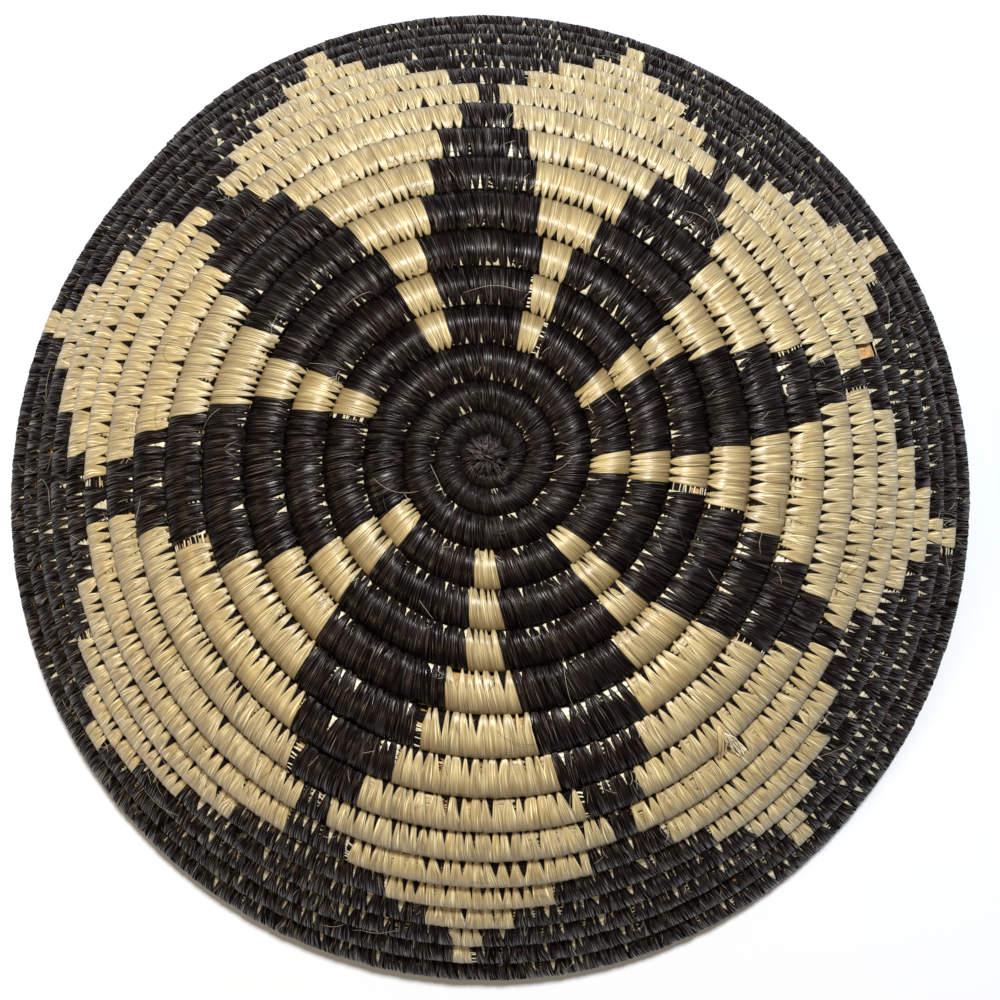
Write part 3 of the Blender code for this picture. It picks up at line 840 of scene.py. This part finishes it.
# Materials
class Nodes:
    """A material's node tree, with short ways to add a node and to join two sockets."""

    def __init__(self, name):
        self.material = bpy.data.materials.new(name)
        self.material.use_nodes = True
        self.tree = self.material.node_tree
        self.shader = self.tree.nodes["Principled BSDF"]

    def add(self, kind, inputs, **settings):
        """A new node with these settings and, by name or number, these inputs."""
        node = self.tree.nodes.new(kind)
        for key, value in settings.items():
            setattr(node, key, value)
        for key, value in inputs.items():
            self.fill(node.inputs[key], value)
        return node

    def join(self, source, target):
        self.tree.links.new(source, target)

    def fill(self, socket, value):
        """Gives a socket a colour, a number, or what another socket says."""
        if isinstance(value, tuple):
            socket.default_value = (*value, 1.0)
        elif isinstance(value, (int, float)):
            socket.default_value = value
        else:
            self.join(value, socket)

    def look(self, name, value):
        self.fill(self.shader.inputs[name], value)

    def maths(self, operation, first, second):
        return self.add("ShaderNodeMath", {0: first, 1: second}, operation=operation).outputs[0]

    def plus(self, first, second):
        return self.maths("ADD", first, second)

    def times(self, first, second):
        return self.maths("MULTIPLY", first, second)

    def mix(self, share, first, second):
        return self.add("ShaderNodeMix", {0: share, 6: first, 7: second}, data_type="RGBA").outputs[2]

    def noise(self, vector, scale, detail, roughness=0.6):
        inputs = {"Vector": vector, "Scale": scale, "Detail": detail, "Roughness": roughness}
        return self.add("ShaderNodeTexNoise", inputs).outputs["Fac"]

    def fibres(self, across, along, detail=1.0, roughness=0.6):
        """Noise on the fibre map with its two ways scaled unlike, so that it turns into fibres."""
        source = self.add("ShaderNodeUVMap", {}, uv_map="fibre")
        mapping = self.add("ShaderNodeMapping", {"Vector": source.outputs["UV"]})
        mapping.inputs["Scale"].default_value = (across, along, 1.0)
        return self.noise(mapping.outputs["Vector"], 1.0, detail, roughness)

    def spread(self, value, low, high):
        inputs = {"Value": value, "From Min": low, "From Max": high}
        return self.add("ShaderNodeMapRange", inputs).outputs["Result"]

    def bump(self, height, strength, distance):
        inputs = {"Height": height, "Strength": strength, "Distance": distance}
        self.look("Normal", self.add("ShaderNodeBump", inputs).outputs["Normal"])


def sisal(name, low, middle, high, old, warm, glint, glints, valley_shade, roughness, shine, sheen, relief):
    """Stitched sisal: fine fibres along the stitch with painted shade in the grooves between them, some of
    them glossy and some bright, partly lighter fibres and partly painted glints, some stitches warmer in
    colour than others, older toward the rim, and painted shade in the valleys between rows."""
    nodes = Nodes(name)
    fine = nodes.spread(nodes.fibres(3.6, 0.09, 2.0, 0.7), 0.34, 0.66)
    coarse = nodes.spread(nodes.fibres(1.4, 0.05), 0.34, 0.66)
    gloss = nodes.spread(nodes.fibres(5.0, 0.11), 0.50, 0.68)
    # Painted shade in the grooves between fibres: thin streaks of the fibre map that are darkened toward low
    groove_shade = nodes.spread(nodes.fibres(4.2, 0.07), 0.40, 0.30)
    tone = nodes.add("ShaderNodeVertexColor", {}, layer_name="tone")
    parts = nodes.add("ShaderNodeSeparateColor", {"Color": tone.outputs["Color"]})
    # depth carries the painted shade of the valleys between rows
    brightness, depth, age = (parts.outputs[part] for part in ("Red", "Green", "Blue"))
    # Bright fibres, partly lighter fibres and partly painted glints that stand in for highlights, are more
    # common toward the rim
    more = nodes.times(age, 0.035)
    painted_glints = nodes.spread(nodes.plus(nodes.fibres(5.5, 0.11), more), glints, glints + 0.12)
    share = nodes.plus(nodes.times(fine, 0.50), nodes.times(coarse, 0.32))
    share = nodes.plus(share, nodes.times(brightness, 0.18))
    dull = nodes.mix(nodes.spread(share, 0.22, 0.50), low, middle)
    fresh = nodes.mix(nodes.spread(share, 0.50, 0.78), dull, high)
    aged = nodes.mix(nodes.times(age, 0.6), fresh, old)
    tinted = nodes.mix(nodes.times(tone.outputs["Alpha"], 0.45), aged, warm)
    # Painted glints: some fibres mixed toward a bright glint colour, partly lighter fibres and partly painted
    # highlight
    bright = nodes.mix(painted_glints, tinted, glint)
    # Painted shade in the grooves between fibres
    groove_shaded = nodes.mix(nodes.times(groove_shade, 0.75), bright, low)
    # Painted shade: the colour darkened toward low in the valleys between rows and at the tips
    nodes.look("Base Color", nodes.mix(nodes.times(depth, valley_shade), groove_shaded, low))
    nodes.look("Roughness", nodes.plus(roughness, nodes.times(coarse, 0.2)))
    nodes.look("Specular IOR Level", nodes.plus(shine, nodes.times(gloss, sheen)))
    nodes.bump(nodes.plus(nodes.times(fine, 0.7), nodes.times(coarse, 0.7)), relief, 0.00010)
    # Fibres side by side spread a highlight along the row, across themselves
    grain = nodes.add("ShaderNodeTangent", {}, direction_type="UV_MAP", uv_map="fibre")
    nodes.look("Tangent", grain.outputs["Tangent"])
    nodes.look("Anisotropic", 0.7)
    return nodes.material


def grass_material():
    """Dried stems: golden, in finely mottled tones."""
    nodes = Nodes("dried_grass")
    place = nodes.add("ShaderNodeTexCoord", {})
    streaks = nodes.spread(nodes.noise(place.outputs["Object"], 900.0, 3.0), 0.3, 0.7)
    nodes.look("Base Color", nodes.mix(streaks, (0.18, 0.095, 0.03), (0.52, 0.33, 0.13)))
    nodes.look("Roughness", 0.7)
    nodes.bump(streaks, 0.5, 0.0002)
    return nodes.material


def strand_material(name, low, high, roughness, shine=0.5):
    nodes = Nodes(name)
    streaks = nodes.spread(nodes.fibres(2.4, 0.5, 2.0), 0.3, 0.7)
    nodes.look("Base Color", nodes.mix(streaks, low, high))
    nodes.look("Roughness", roughness)
    nodes.look("Specular IOR Level", shine)
    return nodes.material


DARK = sisal(
    "dark_sisal", low=(0.0007, 0.0004, 0.0004), middle=(0.0026, 0.0016, 0.0015),
    high=(0.020, 0.0122, 0.0110), old=(0.0050, 0.0041, 0.0040), warm=(0.0055, 0.0027, 0.0018),
    glint=(0.20, 0.165, 0.145), glints=0.65, valley_shade=0.9, roughness=0.30, shine=0.0, sheen=0.75, relief=0.9,
)
CREAM = sisal(
    "cream_sisal", low=(0.11, 0.070, 0.026), middle=(0.275, 0.215, 0.099),
    high=(0.434, 0.370, 0.196), old=(0.292, 0.243, 0.170), warm=(0.345, 0.246, 0.083),
    glint=(0.80, 0.75, 0.49), glints=0.60, valley_shade=0.88, roughness=0.33, shine=0.45, sheen=0.45, relief=0.45,
)
GOLDEN_STRAND = strand_material("golden_strand", (0.17, 0.125, 0.055), (0.36, 0.29, 0.15), 0.45)
CREAM_STRAND = strand_material("cream_strand", (0.32, 0.285, 0.19), (0.58, 0.54, 0.41), 0.4)
DULL_STRAND = strand_material("dull_cream_strand", (0.24, 0.22, 0.155), (0.50, 0.465, 0.345), 0.45)
PALE_STRAND = strand_material("pale_strand", (0.50, 0.44, 0.29), (0.80, 0.74, 0.54), 0.5)
WARM_STRAND = strand_material("warm_strand", (0.36, 0.26, 0.12), (0.62, 0.49, 0.28), 0.5)
DARK_STRAND = strand_material("dark_strand", (0.002, 0.0015, 0.0015), (0.008, 0.006, 0.006), 0.8, 0.05)
KNOT = sisal(
    "knot_sisal", low=(0.0008, 0.0005, 0.0005), middle=(0.008, 0.0055, 0.0053),
    high=(0.160, 0.1180, 0.1130), old=(0.0030, 0.0026, 0.0028), warm=(0.0090, 0.0058, 0.0050),
    glint=(0.34, 0.280, 0.265), glints=0.60, valley_shade=0.0, roughness=0.34, shine=0.15, sheen=0.80, relief=0.9,
)
PALE_HAIR = strand_material("pale_fibre", (0.24, 0.21, 0.15), (0.52, 0.46, 0.36), 0.5)
DARK_HAIR = strand_material("dark_fibre", (0.010, 0.008, 0.007), (0.06, 0.045, 0.035), 0.5)


def settle(piece, look, slot, *nodes):
    """Finishes a piece: its material, its body and the nodes that it stands for, which it hides; slot is not
    used.
    """
    piece.data.materials.append(look)
    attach(piece, "root")
    if nodes:
        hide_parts(*nodes)


def node_of(name):
    """The CAD node that a piece of stitching stands for."""
    kind, place = name.rsplit("_", 1) if name[-1].isdigit() else (name, "")
    kinds = {"start": "start_knot", "dark_centre": "dark_centre_wrap", "dark_rim": "dark_rim_wrap"}
    fields = {"cream": "cream_petal", "dark": "dark_field"}
    return kinds.get(kind) or f"{fields[kind]}_{place}"


# The stitches and the grass
BARE_SEED = 50
STITCH_KINDS = {"cream": (CREAM_TIPS, CREAM, "cream_sisal"), "dark": (DARK_TIPS, DARK, "dark_sisal")}
RUNS = runs_by_piece()
BARE = open_ends(RUNS, np.random.default_rng(BARE_SEED))
for seed, (name, runs) in enumerate(RUNS.items(), 1):
    tips, look, slot = STITCH_KINDS["cream" if name.startswith("cream") else "dark"]
    settle(stitching(f"{name}_stitches", runs, tips, seed), look, slot, node_of(name))
settle(grass_bundle(), grass_material(), "grass_core", "foundation_coil")

# The strands. Carried ones have the shares of the runs that they cover by turn, the lengths of their
# stretches, and their depth; those on bare places their first place and step across, widths, and depth.
STRAND_SEED = 100
PALE_CARRIED = ((0.3, 0.88, 0.58, 0.95), (0.0015, 0.008), 0.09)
GOLDEN_CARRIED = ((0.05, 0.1, 0.35, 0.3), (0.0015, 0.006), 0.07)
DARK_CARRIED = ((0.9, 0.9, 0.95, 0.95), (0.004, 0.014), 0.09)
DARK_LINING = ((1.0, 1.0, 1.0, 1.0), (0.02, 0.03), 0.13)
PALE_LADDER = (0.06, 0.105, (0.0002, 0.0006), 0.08)
DARK_LADDER = (0.04, 0.055, (0.0007, 0.0009), 0.11)
DARK_RUNS = [run for name, runs in RUNS.items() if name.startswith("dark") for run in runs]
CREAM_RUNS = [run for name, runs in RUNS.items() if name.startswith("cream") for run in runs]
for face, side_name in ((1, "outer"), (-1, "inner")):
    rng = np.random.default_rng(STRAND_SEED + face)
    cream_spans = carried_spans(DARK_RUNS, DARK_TIPS, *PALE_CARRIED, rng, pale_factor)
    golden_spans = carried_spans(CREAM_RUNS, CREAM_TIPS, *GOLDEN_CARRIED, rng)
    settle(strands(f"carried_golden_{side_name}", golden_spans, face), GOLDEN_STRAND, "cream_sisal")
    cream_spans += ladder_spans(BARE, *PALE_LADDER, rng)
    dark_spans = carried_spans(CREAM_RUNS, CREAM_TIPS, *DARK_CARRIED, rng)
    dark_spans += carried_spans(RUNS["start"] + DARK_RUNS, None, *DARK_LINING, rng)
    dark_spans += ladder_spans(BARE, *DARK_LADDER, rng)
    for colour, spans, looks in (
        ("cream", cream_spans, (CREAM_STRAND, DULL_STRAND)),
        ("dark", dark_spans, (DARK_STRAND, DARK_STRAND)),
    ):
        for part, (place, look) in enumerate(zip(("base", "wall"), looks)):
            chosen = [span for span in spans if (span[0] >= STRAND_SPLIT_TURN) == part]
            settle(strands(f"carried_{colour}_{side_name}_{place}", chosen, face), look, f"{colour}_sisal")

# The knot, the splice and the loose fibres
DETAIL_SEED = 200
rng = np.random.default_rng(DETAIL_SEED)
settle(centre_fan(rng), KNOT, "dark_sisal", "start_knot")
settle(centre_crossing(rng), KNOT, "dark_sisal", "start_knot")
settle(splice("splice_twist", SPLICE_TWIST, 2.6, rng), PALE_STRAND, "cream_sisal")
settle(splice("splice_wisps", SPLICE_WISPS, 1.0, rng), WARM_STRAND, "cream_sisal")
settle(hairs("pale_loose_fibres", 90, (0.005, 0.016), 0.00004, rng), PALE_HAIR, "cream_sisal")
settle(hairs("dark_loose_fibres", 80, (0.004, 0.012), 0.00005, rng), DARK_HAIR, "dark_sisal")
for name, count, look, slot in (
    ("pale_stray_ends", 700, PALE_HAIR, "cream_sisal"),
    ("dark_stray_ends", 600, DARK_HAIR, "dark_sisal"),
):
    places = scattered_turns(STRAY_TURNS, count, rng)
    settle(stray_ends(name, places, 0.5, 0.00004, rng), look, slot)
places = frayed_turns(CREAM_RUNS, 26, 6, rng)
settle(stray_ends("pale_frayed_ends", places, 1.1, 0.00006, rng), PALE_HAIR, "cream_sisal")


# Camera, light and floor
IMAGE_SIDE = 1000
FOCAL_PIXELS = 1400.0
SENSOR = 36.0
CAMERA_DISTANCE = 0.3468
CAMERA_SHIFT_X = 0.00315
CAMERA_SHIFT_Y = -0.01070
CAMERA_PITCH = 0.0888
CAMERA_YAW = -0.0111
FLOOR_HALF = 3.0
FLOOR_LEVEL = -0.0002
FLOOR_COLOUR = (0.51, 0.54, 0.59)
WORLD_STRENGTH = 0.22


def place_camera():
    """The camera looks down on the bowl from nearly straight above, a little from the lower edge."""
    data = bpy.data.cameras.new("camera")
    data.sensor_width = SENSOR
    data.lens = SENSOR * FOCAL_PIXELS / IMAGE_SIDE
    camera = add_object("camera", data)
    back = Vector((
        math.sin(CAMERA_YAW) * math.cos(CAMERA_PITCH),
        -math.sin(CAMERA_PITCH),
        math.cos(CAMERA_PITCH) * math.cos(CAMERA_YAW),
    ))
    target = Vector((AXIS_X + CAMERA_SHIFT_X, AXIS_Y + CAMERA_SHIFT_Y, -RIM_LEVEL))
    side = Vector((0.0, 1.0, 0.0)).cross(back).normalized()
    up = back.cross(side)
    turned = Matrix((side, up, back)).transposed().to_4x4()
    camera.matrix_world = Matrix.Translation(target + back * CAMERA_DISTANCE) @ turned
    bpy.context.scene.camera = camera


def add_light(name, spot, size, power, colour):
    """A round lamp that faces the bowl."""
    data = bpy.data.lights.new(name, "AREA")
    data.shape = "DISK"
    data.size = size
    data.energy = power
    data.color = colour
    light = add_object(name, data)
    light.location = spot
    light.rotation_euler = (-Vector(spot)).to_track_quat("-Z", "Y").to_euler()


def add_floor():
    data = bpy.data.meshes.new("floor")
    corners = [(x * FLOOR_HALF, y * FLOOR_HALF, 0) for x, y in ((-1, -1), (1, -1), (1, 1), (-1, 1))]
    data.from_pydata(corners, [], [(0, 1, 2, 3)])
    floor = add_object("floor", data)
    floor.location.z = FLOOR_LEVEL
    paper = Nodes("floor_paper")
    paper.look("Base Color", FLOOR_COLOUR)
    paper.look("Roughness", 0.9)
    data.materials.append(paper.material)


def light_world():
    world = bpy.data.worlds.new("studio")
    world.use_nodes = True
    sky = world.node_tree.nodes["Background"]
    sky.inputs["Color"].default_value = (1.0, 1.0, 1.0, 1.0)
    sky.inputs["Strength"].default_value = WORLD_STRENGTH
    bpy.context.scene.world = world


place_camera()
add_floor()
light_world()
add_light("overhead", (0.10, 0.58, 1.4), 0.25, 42.0, (0.985, 0.965, 0.93))
add_light("warm_fill", (-0.75, -0.45, 0.75), 0.30, 4.8, (1.0, 0.70, 0.35))
bpy.context.scene.view_settings.view_transform = "Standard"
